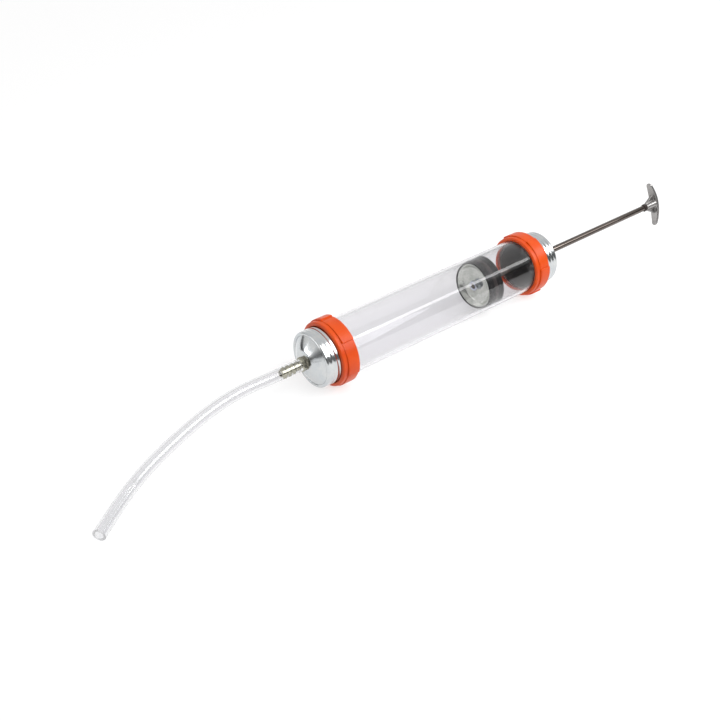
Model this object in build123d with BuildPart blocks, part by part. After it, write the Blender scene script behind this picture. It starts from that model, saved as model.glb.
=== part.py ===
from build123d import *
import os
from math import cos, pi, radians, sin, sqrt, tan

# Hand suction syringe: a clear barrel between two screwed metal caps, a rubber-cupped
# piston on a rod with a T-handle, and a hose on a barb. It lies on its two ring nuts.
# Millimetres. +X runs along the barrel towards the handle, +Z is up, Z = 0 is the table.

# Barrel: a clear tube with a small outward bead at each end
barrel_radius = 30.0
barrel_wall = 3.2
barrel_exposed = 249.6        # length seen between the two ring nuts
bead_height = 1.5
bead_width = 1.6

# Ring nuts: moulded, snapped over the barrel's beads, with ratchet-shaped grip lugs
ring_width = 18.5
ring_wall = 3.27              # from the thread's grooves out to the shoulder
ring_lip = 1.8                # inner lip that holds the bead
lug_count = 6
lug_length = 13.4
lug_height = 1.8              # crest of the lugs above the plain shoulder
foot_angle = 14.0             # from the lowest lug crest round to the bottom
rim_round = 3.0
lug_chamfer = 0.4

# Rolled thread between ring nuts and caps
thread_pitch = 4.5
thread_depth = 0.8
thread_crest = 0.3            # half width of a crest, as a share of the pitch

# Pressed caps
cap_step = 0.35               # thread's crest below the barrel's surface, rim below crest
cap_sheet = 1.0
cap_skirt = 13.5              # length that is screwed into the ring nut
cap_rim = 3.0                 # plain rolled band next to the domed face
cap_corner = 2.0
land_margin = 1.53            # flat left round the widest nut inside a cap
front_cap_reach = 15.4        # from the ring nut's face to the edge of the dome
front_cap_rise = 7.0
rear_cap_reach = 19.2
rear_cap_rise = 3.0
vent_radius = 1.5
vent_offset = 18.0

# Clearances
slip = 0.1                    # between faces that turn or slide past each other
running = 0.08                # radial, for a shaft in a bore
fastener_gap = 0.1            # radial, for a bolt in its hole

# Gaskets and stop sleeve
gasket_thickness = 1.4
sleeve_wall = 1.2
sleeve_start = 2.4            # from the ring nut's barrel face to the sleeve's end

# Hose barb, clamped through the front cap
barb_flats = 13.0
barb_hex = 4.5
barb_washer_thickness = 1.0
barb_washer_margin = 0.3      # washer's edge outside the hexagon's corners
barb_shank = 5.0
barb_ease = 0.3               # barb's core inside the hose's bore
barb_bite = 0.6               # barb's ridges beyond the hose's bore
barb_neck = 3.0
barb_ridge = 5.0
barb_ridges = 4
barb_bore = 2.4
barb_nut_flats = 15.0
barb_nut_thickness = 4.0
barb_shank_spare = 1.5        # thread left standing past the nut

# Hose
hose_radius = 6.0
hose_bore = 4.0

# Rod bush, clamped through the rear cap, and its seal
bush_radius = 7.5
bush_flange_width = 3.0       # flange's edge outside the bush's barrel
bush_flange = 2.0
bush_nut_flats = 19.0
bush_nut_thickness = 4.0
bush_tail = 1.5               # bush left standing past the nut
seal_section = 0.95           # radius of the O-ring's round section

# Rod and its studs, the piston's and the handle's
rod_radius = 3.5
stud_radius = 3.0
stud_flats = 10.0             # across the flats of the nuts on the piston's stud
handle_stud_radius = 2.5
rod_reach = 291.6             # from the piston's front lip to the lock nut
rod_end_chamfer = 0.5

# Piston: two rubber cups back to back on a core, between two dished discs
piston_place = 184.0          # from the front ring nut's barrel face to the front lip
piston_length = 19.7
dish_depth = 4.6
disc_sheet = 1.0
disc_gap = 0.22               # disc's edge inside the cup's lip
dish_width = 5.2              # from the flat floor out to the disc's edge
cup_web = 1.8
cup_lip = 2.5                 # width of the lip that rubs on the bore
cup_lip_wall = 1.8
cup_relief = 0.5              # how far the rest of the cup stands back from the lip
spring_washer_thickness = 1.2
spring_washer_radius = 5.0
spring_washer_split = 1.0
piston_nut_thickness = 3.6
rear_nut_thickness = 5.0

# T-handle
lock_nut_flats = 8.0
lock_nut_thickness = 4.0
handle_length = 53.0
handle_width = 12.0
handle_tip_width = 8.0
handle_thickness = 4.0
handle_tip_thickness = 3.0
handle_bow = 6.0              # how far the ends curve back towards the barrel
handle_roll = 22.0            # degrees from upright, about the rod
handle_round = 1.2
neck_length = 15.8
neck_tip_radius = 4.2
neck_root_radius = 5.2
gusset_height = 12.0
gusset_tip = 3.8
gusset_thickness = 3.2
handle_socket = 13.0          # depth of the threaded hole in the neck
nut_chamfer = 0.5


# Values that follow from the sizes above
barb_core = hose_bore - barb_ease
barb_crest = hose_bore + barb_bite
barrel_bore = barrel_radius - barrel_wall
cap_radius = barrel_radius - cap_step
cap_rim_radius = cap_radius - cap_step
thread_bore = cap_radius + running
rim_radius = thread_bore + thread_depth + ring_wall
ring_radius = rim_radius + lug_height
cap_land = max(bush_nut_flats, barb_nut_flats) / sqrt(3) + land_margin
skirt_start = ring_width - cap_skirt
skirt_root = cap_radius - thread_depth
skirt_bore = skirt_root - cap_sheet
gasket_start = skirt_start - slip - gasket_thickness
bead_start = ring_lip + slip
barrel_end = bead_start + bead_width
front_land = ring_width + front_cap_reach + front_cap_rise
rear_land = ring_width + rear_cap_reach + rear_cap_rise
barb_face = front_land + barb_washer_thickness + barb_hex
barb_tip = barb_face + barb_neck + barb_ridges * barb_ridge
lock_nut_place = piston_place + rod_reach
handle_back = lock_nut_place + lock_nut_thickness + neck_length + handle_thickness
lug_step = 360 / lug_count

# The lugs fall from crest to heel so that the ring rests on a crest and the next slope
lug_heel_radius = (
    ring_radius * (cos(radians(foot_angle)) - foot_angle / lug_step)
    / (1 - foot_angle / lug_step)
)


def polar(radius, angle):
    return (radius * cos(radians(angle)), radius * sin(radians(angle)))


# Outline of the grip lugs, looking along the barrel; its lowest point meets the table
with BuildSketch() as lug_outline:
    with BuildLine():
        for k in range(lug_count):
            crest_angle = 270 + foot_angle + k * lug_step
            crest = polar(ring_radius, crest_angle)
            slope = polar((ring_radius + lug_heel_radius) / 2, crest_angle + lug_step / 2)
            heel = polar(lug_heel_radius, crest_angle + lug_step)
            ThreePointArc(crest, slope, heel)
            Line(heel, polar(ring_radius, crest_angle + lug_step))
    make_face()
axis_height = -lug_outline.sketch.bounding_box().min.Y

# X of the ring nuts' barrel faces, with X = 0 half way from the barb's tip to the handle
front_face = (barb_tip - handle_back) / 2
rear_face = front_face + barrel_exposed
long_axis = Axis((0, 0, axis_height), (1, 0, 0))


def profile_plane(side):
    """Sketch plane through the axis: x is the distance out from a ring nut's barrel face."""
    face = front_face if side < 0 else rear_face
    return Plane(origin=(face, 0, axis_height), x_dir=(side, 0, 0), z_dir=(0, -side, 0))


def cross_plane(side, out):
    """Sketch plane across the axis at a distance out, facing outwards."""
    face = front_face if side < 0 else rear_face
    return Plane(origin=(face + side * out, 0, axis_height), x_dir=(0, side, 0), z_dir=(side, 0, 0))


def piston_plane():
    """Sketch plane through the axis: x is the distance behind the piston's front lip."""
    return Plane(origin=(front_face + piston_place, 0, axis_height), x_dir=(1, 0, 0),
                 z_dir=(0, -1, 0))


def across(place):
    """Sketch plane across the axis, facing the handle, measured from the front lip."""
    return Plane(origin=(front_face + piston_place + place, 0, axis_height),
                 x_dir=(0, 1, 0), z_dir=(1, 0, 0))


def band(start, end, inner, outer):
    """Rectangle of a profile between two distances and two radii."""
    with Locations(((start + end) / 2, (inner + outer) / 2)):
        Rectangle(end - start, outer - inner)


def thread_places(first, last):
    """Distances of the thread's crests, a pitch apart, counted from the dome side."""
    count = int((last - first) / thread_pitch)
    return [last - k * thread_pitch for k in range(count + 1)]


def save(piece, name):
    piece.part.label = name
    export_step(piece.part, f"parts/{name}.step")


os.makedirs("parts", exist_ok=True)

# Barrel tube: clear, with a bead at each end that the ring nut's lip snaps over
with BuildPart() as barrel_tube:
    with BuildSketch(profile_plane(1)):
        band(-barrel_exposed - barrel_end, barrel_end, barrel_bore, barrel_radius)
        for start in (bead_start, -barrel_exposed - barrel_end):
            band(start, start + bead_width, barrel_radius, barrel_radius + bead_height)
    revolve(axis=long_axis)
save(barrel_tube, "barrel_tube")


def ring_nut(side):
    """Moulded ring nut: lip, bead groove, threaded bore and grip lugs. The plain shoulder
    beside the lugs faces the hose on both rings."""
    with BuildPart() as ring:
        with BuildSketch(cross_plane(side, 0 if side < 0 else ring_width - lug_length)):
            add(lug_outline.sketch)
        extrude(amount=lug_length)
        chamfer(ring.edges().group_by(Axis.X)[0], lug_chamfer)
        with BuildSketch(cross_plane(side, 0)):
            Circle(rim_radius)
        extrude(amount=ring_width)
        fillet(ring.edges().filter_by(GeomType.CIRCLE).sort_by(Axis.X)[0], rim_round)
        with BuildSketch(profile_plane(side)):
            band(-slip, ring_width + slip, 0, thread_bore)
            band(-slip, ring_lip + slip, 0, barrel_radius + running)
            band(ring_lip, gasket_start, 0, barrel_radius + bead_height + running)
            for place in thread_places(skirt_start, ring_width - thread_pitch / 2):
                with Locations((place, thread_bore)):
                    Ellipse(thread_crest * thread_pitch, thread_depth)
        revolve(axis=long_axis, mode=Mode.SUBTRACT)
    return ring


front_ring = ring_nut(-1)
rear_ring = ring_nut(1)
save(front_ring, "front_ring")
save(rear_ring, "rear_ring")


def cap(side, reach, rise, hole):
    """Pressed cap: rolled thread on the skirt, a rim band, a dome and a flat land."""
    edge = ring_width + reach
    land = edge + rise
    dome_foot = cap_rim_radius - cap_corner
    centre = (land**2 + cap_land**2 - edge**2 - dome_foot**2) / (2 * rise)
    dome_radius = sqrt((land - centre) ** 2 + cap_land**2)
    shoulder = (dome_foot + cap_land) / 2
    crown = centre + sqrt(dome_radius**2 - shoulder**2)
    corner_mid = cap_corner * (1 - cos(radians(45)))
    with BuildPart() as shell:
        with BuildSketch(profile_plane(side)):
            with BuildLine():
                Polyline((land, cap_land), (land, hole), (land - cap_sheet, hole),
                         (land - cap_sheet, cap_land))
                ThreePointArc((land - cap_sheet, cap_land), (crown - cap_sheet, shoulder),
                              (edge - cap_sheet, dome_foot))
                Polyline((edge - cap_sheet, dome_foot), (edge - cap_sheet, skirt_bore),
                         (skirt_start, skirt_bore), (skirt_start, skirt_root),
                         (edge - cap_rim, skirt_root), (edge - cap_rim, cap_rim_radius),
                         (edge - cap_corner, cap_rim_radius))
                ThreePointArc((edge - cap_corner, cap_rim_radius),
                              (edge - corner_mid, cap_rim_radius - corner_mid),
                              (edge, dome_foot))
                ThreePointArc((edge, dome_foot), (crown, shoulder), (land, cap_land))
            make_face()
            last_crest = edge - cap_rim - thread_pitch * thread_crest
            for place in thread_places(skirt_start + thread_pitch * thread_crest, last_crest):
                with Locations((place, skirt_root)):
                    Ellipse(thread_crest * thread_pitch, thread_depth)
        revolve(axis=long_axis)
    return shell


front_cap = cap(-1, front_cap_reach, front_cap_rise, barb_shank + fastener_gap)
save(front_cap, "front_cap")

# Rear cap: the same kind of pressing, deeper and flatter, with a vent hole at the top
with BuildPart() as rear_cap:
    add(cap(1, rear_cap_reach, rear_cap_rise, bush_radius + fastener_gap).part)
    with BuildSketch(cross_plane(1, ring_width + rear_cap_reach - cap_corner)):
        with Locations((0, vent_offset)):
            Circle(vent_radius)
    extrude(amount=rear_cap_rise + 2 * cap_corner, mode=Mode.SUBTRACT)
save(rear_cap, "rear_cap")


def gasket(side):
    """Flat rubber ring between the barrel's end and the cap's skirt."""
    with BuildPart() as ring:
        with BuildSketch(profile_plane(side)):
            band(gasket_start, gasket_start + gasket_thickness, barrel_bore + slip, cap_radius)
        revolve(axis=long_axis)
    return ring


front_gasket = gasket(-1)
rear_gasket = gasket(1)
save(front_gasket, "front_gasket")
save(rear_gasket, "rear_gasket")

# Stop sleeve: a plain tube inside the rear cap; its end stops the piston in the barrel
with BuildPart() as stop_sleeve:
    with BuildSketch(profile_plane(1)):
        sleeve_outer = barrel_bore - running
        band(sleeve_start, ring_width + rear_cap_reach - cap_sheet,
             sleeve_outer - sleeve_wall, sleeve_outer)
    revolve(axis=long_axis)
save(stop_sleeve, "stop_sleeve")

# Hose barb: hexagon, ridged tail outside, threaded shank through the front cap
nut_outside = front_land - cap_sheet
barb_inner_end = nut_outside - barb_nut_thickness - barb_shank_spare
with BuildPart() as hose_barb:
    with BuildSketch(cross_plane(-1, barb_face - barb_hex)):
        RegularPolygon(barb_flats / 2, 6, major_radius=False)
    extrude(amount=barb_hex)
    chamfer(hose_barb.edges().group_by(Axis.X)[0], nut_chamfer)
    with BuildSketch(profile_plane(-1)):
        band(barb_inner_end, barb_face - barb_hex, 0, barb_shank)
        band(barb_face, barb_face + barb_neck, 0, barb_core)
        for k in range(barb_ridges):
            ridge_start = barb_face + barb_neck + k * barb_ridge
            with BuildLine():
                Polyline((ridge_start, 0), (ridge_start, barb_crest),
                         (ridge_start + barb_ridge, barb_core), (ridge_start + barb_ridge, 0),
                         close=True)
            make_face()
    revolve(axis=long_axis)
    with BuildSketch(cross_plane(-1, barb_inner_end)):
        Circle(barb_bore)
    extrude(amount=barb_tip - barb_inner_end, mode=Mode.SUBTRACT)
save(hose_barb, "hose_barb")

# Sealing washer under the barb's hexagon
with BuildPart() as barb_washer:
    with BuildSketch(profile_plane(-1)):
        band(front_land, front_land + barb_washer_thickness, barb_shank + fastener_gap,
             barb_flats / sqrt(3) + barb_washer_margin)
    revolve(axis=long_axis)
save(barb_washer, "barb_washer")


def hex_nut(plane, flats, hole, thickness):
    """Hexagon nut standing on a plane, with both faces chamfered."""
    with BuildPart() as nut:
        with BuildSketch(plane):
            RegularPolygon(flats / 2, 6, major_radius=False)
        extrude(amount=thickness)
        chamfer(nut.edges().filter_by(Axis.X, reverse=True), nut_chamfer)
        with BuildSketch(plane):
            Circle(hole)
        extrude(amount=thickness, mode=Mode.SUBTRACT)
    return nut


# Nut that clamps the barb from inside the front cap
barb_nut = hex_nut(cross_plane(-1, nut_outside - barb_nut_thickness), barb_nut_flats,
                   barb_shank + fastener_gap, barb_nut_thickness)
save(barb_nut, "barb_nut")

# Rod bush: flange outside the rear cap, bore for the rod and a groove for the seal
bush_inner_end = rear_land - cap_sheet - bush_nut_thickness - bush_tail
seal_place = (bush_inner_end + rear_land + bush_flange) / 2
seal_centre = rod_radius + running + seal_section
with BuildPart() as rod_bush:
    with BuildSketch(profile_plane(1)):
        band(bush_inner_end, rear_land + bush_flange, rod_radius + running, bush_radius)
        band(rear_land, rear_land + bush_flange, bush_radius, bush_radius + bush_flange_width)
    revolve(axis=long_axis)
    with BuildSketch(profile_plane(1)):
        band(seal_place - seal_section - running, seal_place + seal_section + running,
             0, seal_centre + seal_section + running)
    revolve(axis=long_axis, mode=Mode.SUBTRACT)
save(rod_bush, "rod_bush")

# Nut that clamps the bush from inside the rear cap
bush_nut = hex_nut(cross_plane(1, rear_land - cap_sheet - bush_nut_thickness), bush_nut_flats,
                   bush_radius + fastener_gap, bush_nut_thickness)
save(bush_nut, "bush_nut")

# Rod seal: an O-ring in the bush's groove
with BuildPart() as rod_seal:
    with BuildSketch(profile_plane(1)):
        with Locations((seal_place, seal_centre)):
            Circle(seal_section)
    revolve(axis=long_axis)
save(rod_seal, "rod_seal")

# Stack of the piston, in distances behind its front lip
front_floor = dish_depth
front_web = front_floor + disc_sheet
core_start = front_web + cup_web
rear_floor = piston_length - dish_depth
rear_web = rear_floor - disc_sheet
core_end = rear_web - cup_web
stud_bore = stud_radius + fastener_gap
cup_radius = barrel_bore - running
core_radius = cup_radius - cup_relief
disc_radius = cup_radius - cup_lip_wall - disc_gap
disc_floor = disc_radius - dish_width


def dished_disc(lip, direction):
    """Pressed disc: flat floor, conical side and a flat rim near the cup's lip."""
    floor = lip + direction * dish_depth
    under = floor + direction * disc_sheet
    rim = lip + direction * slip
    with BuildPart() as disc:
        with BuildSketch(piston_plane()):
            with BuildLine():
                Polyline((floor, stud_bore), (floor, disc_floor),
                         (rim, disc_radius - disc_sheet), (rim, disc_radius),
                         (rim + direction * disc_sheet, disc_radius),
                         (under, disc_floor + disc_sheet), (under, stud_bore), close=True)
            make_face()
        revolve(axis=long_axis)
    return disc


def rubber_cup(lip, direction):
    """Rubber cup: a web clamped on the core and a lip that rubs on the barrel's bore."""
    web = lip + direction * (dish_depth + disc_sheet)
    back = web + direction * cup_web
    with BuildPart() as cup:
        with BuildSketch(piston_plane()):
            with BuildLine():
                Polyline((web, stud_bore), (web, disc_floor + 2 * disc_sheet),
                         (lip + direction * cup_lip, cup_radius - cup_lip_wall),
                         (lip, cup_radius - cup_lip_wall), (lip, cup_radius),
                         (lip + direction * cup_lip, cup_radius),
                         (lip + direction * (cup_lip + cup_relief), core_radius),
                         (back, core_radius), (back, stud_bore), close=True)
            make_face()
        revolve(axis=long_axis)
    return cup


front_disc = dished_disc(0, 1)
rear_disc = dished_disc(piston_length, -1)
front_cup = rubber_cup(0, 1)
rear_cup = rubber_cup(piston_length, -1)
save(front_disc, "front_disc")
save(rear_disc, "rear_disc")
save(front_cup, "front_cup")
save(rear_cup, "rear_cup")

# Core that keeps the two cups apart
with BuildPart() as piston_core:
    with BuildSketch(piston_plane()):
        band(core_start, core_end, stud_bore, core_radius)
    revolve(axis=long_axis)
save(piston_core, "piston_core")

# Spring washer and nut on the front stud
with BuildPart() as spring_washer:
    with BuildSketch(piston_plane()):
        band(front_floor - spring_washer_thickness, front_floor, stud_bore, spring_washer_radius)
    revolve(axis=long_axis)
    with BuildSketch(across(front_floor - spring_washer_thickness)):
        with Locations((spring_washer_radius, 0)):
            Rectangle(2 * spring_washer_radius, spring_washer_split)
    extrude(amount=spring_washer_thickness, mode=Mode.SUBTRACT)
save(spring_washer, "spring_washer")

piston_nut_place = front_floor - spring_washer_thickness - piston_nut_thickness
piston_nut = hex_nut(across(piston_nut_place), stud_flats, stud_bore, piston_nut_thickness)
save(piston_nut, "piston_nut")

# Nut that backs the rear disc against the rod's shoulder
rear_nut = hex_nut(across(rear_floor), stud_flats, stud_bore, rear_nut_thickness)
save(rear_nut, "rear_nut")

# Rod: bright bar with a threaded stud turned down at each end
shoulder_place = rear_floor + rear_nut_thickness
with BuildPart() as rod:
    with BuildSketch(piston_plane()):
        band(piston_nut_place, shoulder_place, 0, stud_radius)
        band(shoulder_place, rod_reach, 0, rod_radius)
        band(rod_reach, rod_reach + lock_nut_thickness + handle_socket, 0, handle_stud_radius)
    revolve(axis=long_axis)
    chamfer(rod.edges().group_by(Axis.X)[0], rod_end_chamfer)
    chamfer(rod.edges().group_by(Axis.X)[-1], rod_end_chamfer)
save(rod, "rod")

# Lock nut between the rod's shoulder and the handle
handle_stud_bore = handle_stud_radius + fastener_gap
lock_nut = hex_nut(across(rod_reach), lock_nut_flats, handle_stud_bore, lock_nut_thickness)
save(lock_nut, "lock_nut")

# T-handle: one casting with a bowed, tapered bar, a tapered neck and a gusset on each side
handle_x = front_face + handle_back
lean_y = sin(radians(handle_roll))
lean_z = cos(radians(handle_roll))
handle_side = Plane(origin=(handle_x, 0, axis_height), x_dir=(1, 0, 0),
                    z_dir=(0, -lean_z, lean_y))
handle_front = Plane(origin=(handle_x, 0, axis_height), x_dir=(0, lean_y, lean_z),
                     z_dir=(-1, 0, 0))
half_length = handle_length / 2
tip_centre = half_length - handle_tip_width / 2
tip_front = -handle_bow - handle_tip_thickness
neck_front = -handle_thickness - neck_length
with BuildPart() as handle:
    with BuildSketch(handle_side):
        with BuildLine():
            ThreePointArc((-handle_bow, -half_length), (0, 0), (-handle_bow, half_length))
            Line((-handle_bow, half_length), (tip_front, half_length))
            ThreePointArc((tip_front, half_length), (-handle_thickness, 0),
                          (tip_front, -half_length))
            Line((tip_front, -half_length), (-handle_bow, -half_length))
        make_face()
    extrude(amount=handle_width / 2, both=True)
    with BuildSketch(handle_front):
        with BuildLine():
            ThreePointArc((-tip_centre, handle_tip_width / 2), (0, handle_width / 2),
                          (tip_centre, handle_tip_width / 2))
            ThreePointArc((tip_centre, handle_tip_width / 2), (half_length, 0),
                          (tip_centre, -handle_tip_width / 2))
            ThreePointArc((tip_centre, -handle_tip_width / 2), (0, -handle_width / 2),
                          (-tip_centre, -handle_tip_width / 2))
            ThreePointArc((-tip_centre, -handle_tip_width / 2), (-half_length, 0),
                          (-tip_centre, handle_tip_width / 2))
        make_face()
    extrude(amount=-tip_front + slip, mode=Mode.INTERSECT)
    fillet(handle.edges(), handle_round)
    with BuildSketch(handle_side):
        with BuildLine():
            Polyline((neck_front, 0), (neck_front, neck_tip_radius),
                     (-handle_thickness / 2, neck_root_radius), (-handle_thickness / 2, 0),
                     close=True)
        make_face()
    revolve(axis=long_axis)
    with BuildSketch(handle_side):
        with BuildLine():
            Polyline((neck_front, 0), (neck_front, gusset_tip),
                     (-handle_thickness, gusset_height), (-handle_thickness / 2, gusset_height),
                     (-handle_thickness / 2, -gusset_height), (-handle_thickness, -gusset_height),
                     (neck_front, -gusset_tip), close=True)
        make_face()
    extrude(amount=gusset_thickness / 2, both=True)
    with BuildSketch(across(rod_reach + lock_nut_thickness)):
        Circle(handle_stud_bore)
    extrude(amount=handle_socket + slip, mode=Mode.SUBTRACT)
save(handle, "handle")

# Hose: straight over the barb, then down to the table in an easy bend to one side
barb_x = front_face - barb_face
hose_route = [
    (barb_x, 0, axis_height),
    (barb_x - 32, 0, axis_height),
    (barb_x - 64, 4, axis_height - 2),
    (barb_x - 96, 4.5, axis_height - 8),
    (barb_x - 127, 1, axis_height - 15.5),
    (barb_x - 158, -6, axis_height - 22),
    (barb_x - 188.5, -17.5, axis_height - 26.5),
    (barb_x - 218, -35.5, hose_radius),
    (barb_x - 245, -56, hose_radius),
]
corners = [Vector(*point) for point in hose_route]
hose_arcs = []
for before, corner, after in zip(corners, corners[1:], corners[2:]):
    half_turn = radians((corner - before).get_angle(after - corner)) / 2
    shorter_run = min((corner - before).length, (after - corner).length)
    hose_arcs.append(0.45 * shorter_run / tan(half_turn))
print("hose arc radii", [round(radius, 1) for radius in hose_arcs])

with BuildPart() as hose:
    with BuildLine() as hose_line:
        FilletPolyline(*hose_route, radius=hose_arcs)
    with BuildSketch(Plane(origin=hose_route[0], x_dir=(0, 1, 0), z_dir=(-1, 0, 0))):
        Circle(hose_radius)
        Circle(hose_bore, mode=Mode.SUBTRACT)
    sweep(path=hose_line.wire())
save(hose, "hose")

hose_section = pi * (hose_radius**2 - hose_bore**2)
hose_length = hose_line.wire().length
print("hose length", round(hose_length, 1), "volume", round(hose.part.volume),
      "section x length", round(hose_section * hose_length))
print("axis height", round(axis_height, 3), "front face", round(front_face, 3))
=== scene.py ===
from math import ceil, cos, pi, radians, sin

import bmesh
import bpy
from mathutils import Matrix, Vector


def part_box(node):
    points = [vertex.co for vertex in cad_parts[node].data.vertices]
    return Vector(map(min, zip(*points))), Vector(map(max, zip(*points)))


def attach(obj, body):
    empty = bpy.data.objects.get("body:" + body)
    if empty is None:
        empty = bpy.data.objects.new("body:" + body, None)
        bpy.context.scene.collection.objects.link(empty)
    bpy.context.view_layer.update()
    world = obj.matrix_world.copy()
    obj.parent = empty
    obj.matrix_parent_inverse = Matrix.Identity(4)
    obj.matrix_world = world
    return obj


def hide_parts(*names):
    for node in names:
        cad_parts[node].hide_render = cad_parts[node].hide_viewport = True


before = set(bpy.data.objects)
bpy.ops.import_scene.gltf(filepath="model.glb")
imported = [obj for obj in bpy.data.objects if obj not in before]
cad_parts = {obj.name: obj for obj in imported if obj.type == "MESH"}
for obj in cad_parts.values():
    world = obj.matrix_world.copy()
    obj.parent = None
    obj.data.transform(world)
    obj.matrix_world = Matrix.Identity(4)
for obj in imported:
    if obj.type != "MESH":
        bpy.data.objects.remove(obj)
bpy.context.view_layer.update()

mm = 0.001


# Camera: a three-quarter view from above the hose, looking along the barrel to the handle.
# It stands about a metre away, so that the near end looks larger than the far end.
camera = bpy.data.objects.new("camera", bpy.data.cameras.new("camera"))
bpy.context.scene.collection.objects.link(camera)
bpy.context.scene.camera = camera
camera.location = (-0.7039, -0.6399, 0.5982)
camera.rotation_euler = (radians(54.304), 0, radians(-38.943))
camera.data.lens = 49.85
camera.data.sensor_width = 36
bpy.context.scene.view_settings.view_transform = "Standard"


# Hose: clear soft PVC, 12 mm over an 8 mm bore, extruded and cut square at its far end.
# It is pushed over the barb, droops to the table and lies there, bent a little to one side.
barrel_low, barrel_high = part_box("barrel_tube")
axis = (barrel_low.z + barrel_high.z) / 2
hose_route = [
    (-261.4, 0, 34.556), (-293.4, 0, 34.556), (-325.4, 4, 32.556), (-357.4, 4.5, 26.556),
    (-388.4, 1, 19.056), (-419.4, -6, 12.556), (-449.9, -17.5, 8.056), (-479.4, -35.5, 6),
    (-506.4, -56, 6),
]
hose_start = Vector(hose_route[0]) * mm
hose_radius = 6 * mm
hose_bore = 4 * mm
hose_stretch = 0.15 * mm
hose_edge = 0.25 * mm
barb_neck, barb_ridge, barb_ridges = 3 * mm, 5 * mm, 4
barb_core, barb_crest = 3.7 * mm, 4.6 * mm


def barb_radius(reach):
    """Radius of the barb's tail at a distance from the hexagon's face."""
    if reach < barb_neck:
        return barb_core
    share = (reach - barb_neck) / barb_ridge % 1.0
    return barb_crest + (barb_core - barb_crest) * share


def hose_line(route):
    """Points along the smooth line that the hose's route controls."""
    curve = bpy.data.curves.new("hose_line", "CURVE")
    curve.dimensions = "3D"
    spline = curve.splines.new("NURBS")
    spline.points.add(len(route) - 1)
    for point, place in zip(spline.points, route):
        point.co = (*[value * mm for value in place], 1.0)
    spline.order_u = 3
    spline.use_endpoint_u = True
    spline.resolution_u = 20
    line = bpy.data.objects.new("hose_line", curve)
    bpy.context.scene.collection.objects.link(line)
    mesh = bpy.data.meshes.new_from_object(line)
    points = [vertex.co.copy() for vertex in mesh.vertices]
    bpy.data.objects.remove(line)
    bpy.data.meshes.remove(mesh)
    return points


def new_piece(name, vertices, faces, material, sharp=35, recalculate=True):
    """A mesh object with smooth faces and sharp corners."""
    mesh = bpy.data.meshes.new(name)
    mesh.from_pydata(vertices, [], faces)
    if recalculate:
        work = bmesh.new()
        work.from_mesh(mesh)
        bmesh.ops.recalc_face_normals(work, faces=work.faces)
        work.to_mesh(mesh)
        work.free()
    mesh.shade_smooth()
    mesh.set_sharp_from_angle(angle=radians(sharp))
    mesh.materials.append(material)
    piece = bpy.data.objects.new(name, mesh)
    bpy.context.scene.collection.objects.link(piece)
    return piece


def hose_tube(name, points, material, around=48):
    """Tube along points; its cut end's edges are broken, and its bore is stretched over the barb.
    The points stand closer together where it lies over the barb's ridges."""
    fine = []
    reach = 0.0
    for first, second in zip(points, points[1:]):
        steps = max(1, ceil((second - first).length / (0.6 * mm))) if reach < 30 * mm else 1
        fine += [first.lerp(second, k / steps) for k in range(steps)]
        reach += (second - first).length
    fine.append(points[-1])
    rings = []
    side = Vector((0, 0, 1))
    reach = 0.0
    for k, place in enumerate(fine):
        ahead = (fine[min(k + 1, len(fine) - 1)] - fine[max(k - 1, 0)]).normalized()
        side = (side - ahead * side.dot(ahead)).normalized()
        up = ahead.cross(side)
        on_barb = reach < barb_neck + barb_ridge * barb_ridges
        bore = max(hose_bore, barb_radius(reach) + 0.02 * mm) if on_barb else hose_bore
        outside = hose_radius + (bore - hose_bore) * 0.5 + (hose_stretch if on_barb else 0.0)
        rings.append((place, side.copy(), up, outside, bore))
        if k + 1 < len(fine):
            reach += (fine[k + 1] - place).length
    vertices = []
    loops = []

    def ring_at(place, side, up, radius):
        loops.append(len(vertices))
        for k in range(around):
            angle = 2 * pi * k / around
            vertices.append(place + side * (radius * cos(angle)) + up * (radius * sin(angle)))

    for place, side, up, outside, bore in rings[:-1]:
        ring_at(place, side, up, outside)
    place, side, up, outside, bore = rings[-1]
    back = (rings[-2][0] - place).normalized() * hose_edge
    ring_at(place + back, side, up, outside)
    ring_at(place, side, up, outside - hose_edge)
    ring_at(place, side, up, bore + hose_edge)
    ring_at(place + back, side, up, bore)
    for place, side, up, outside, bore in reversed(rings[:-1]):
        ring_at(place, side, up, bore)
    faces = []
    for k, first in enumerate(loops):
        second = loops[(k + 1) % len(loops)]
        for j in range(around):
            i = (j + 1) % around
            faces.append((first + j, first + i, second + i, second + j))
    return new_piece(name, vertices, faces, material, 40)


# Node trees: materials and shape rules are written as plain sums on their sockets.
# Socket adds the Math nodes, and Tree.node adds every other kind of node.
class Socket:
    """One output of a node, for use in sums."""

    def __init__(self, tree, socket):
        self.tree = tree
        self.socket = socket

    def __add__(self, other):
        return self.tree.math("ADD", self, other)

    def __sub__(self, other):
        return self.tree.math("SUBTRACT", self, other)

    def __rsub__(self, other):
        return self.tree.math("SUBTRACT", other, self)

    def __mul__(self, other):
        return self.tree.math("MULTIPLY", self, other)

    def __truediv__(self, other):
        return self.tree.math("DIVIDE", self, other)

    def __rtruediv__(self, other):
        return self.tree.math("DIVIDE", other, self)

    def __pow__(self, other):
        return self.tree.math("POWER", self, other)

    def __abs__(self):
        return self.tree.math("ABSOLUTE", self)

    __radd__ = __add__
    __rmul__ = __mul__


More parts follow.
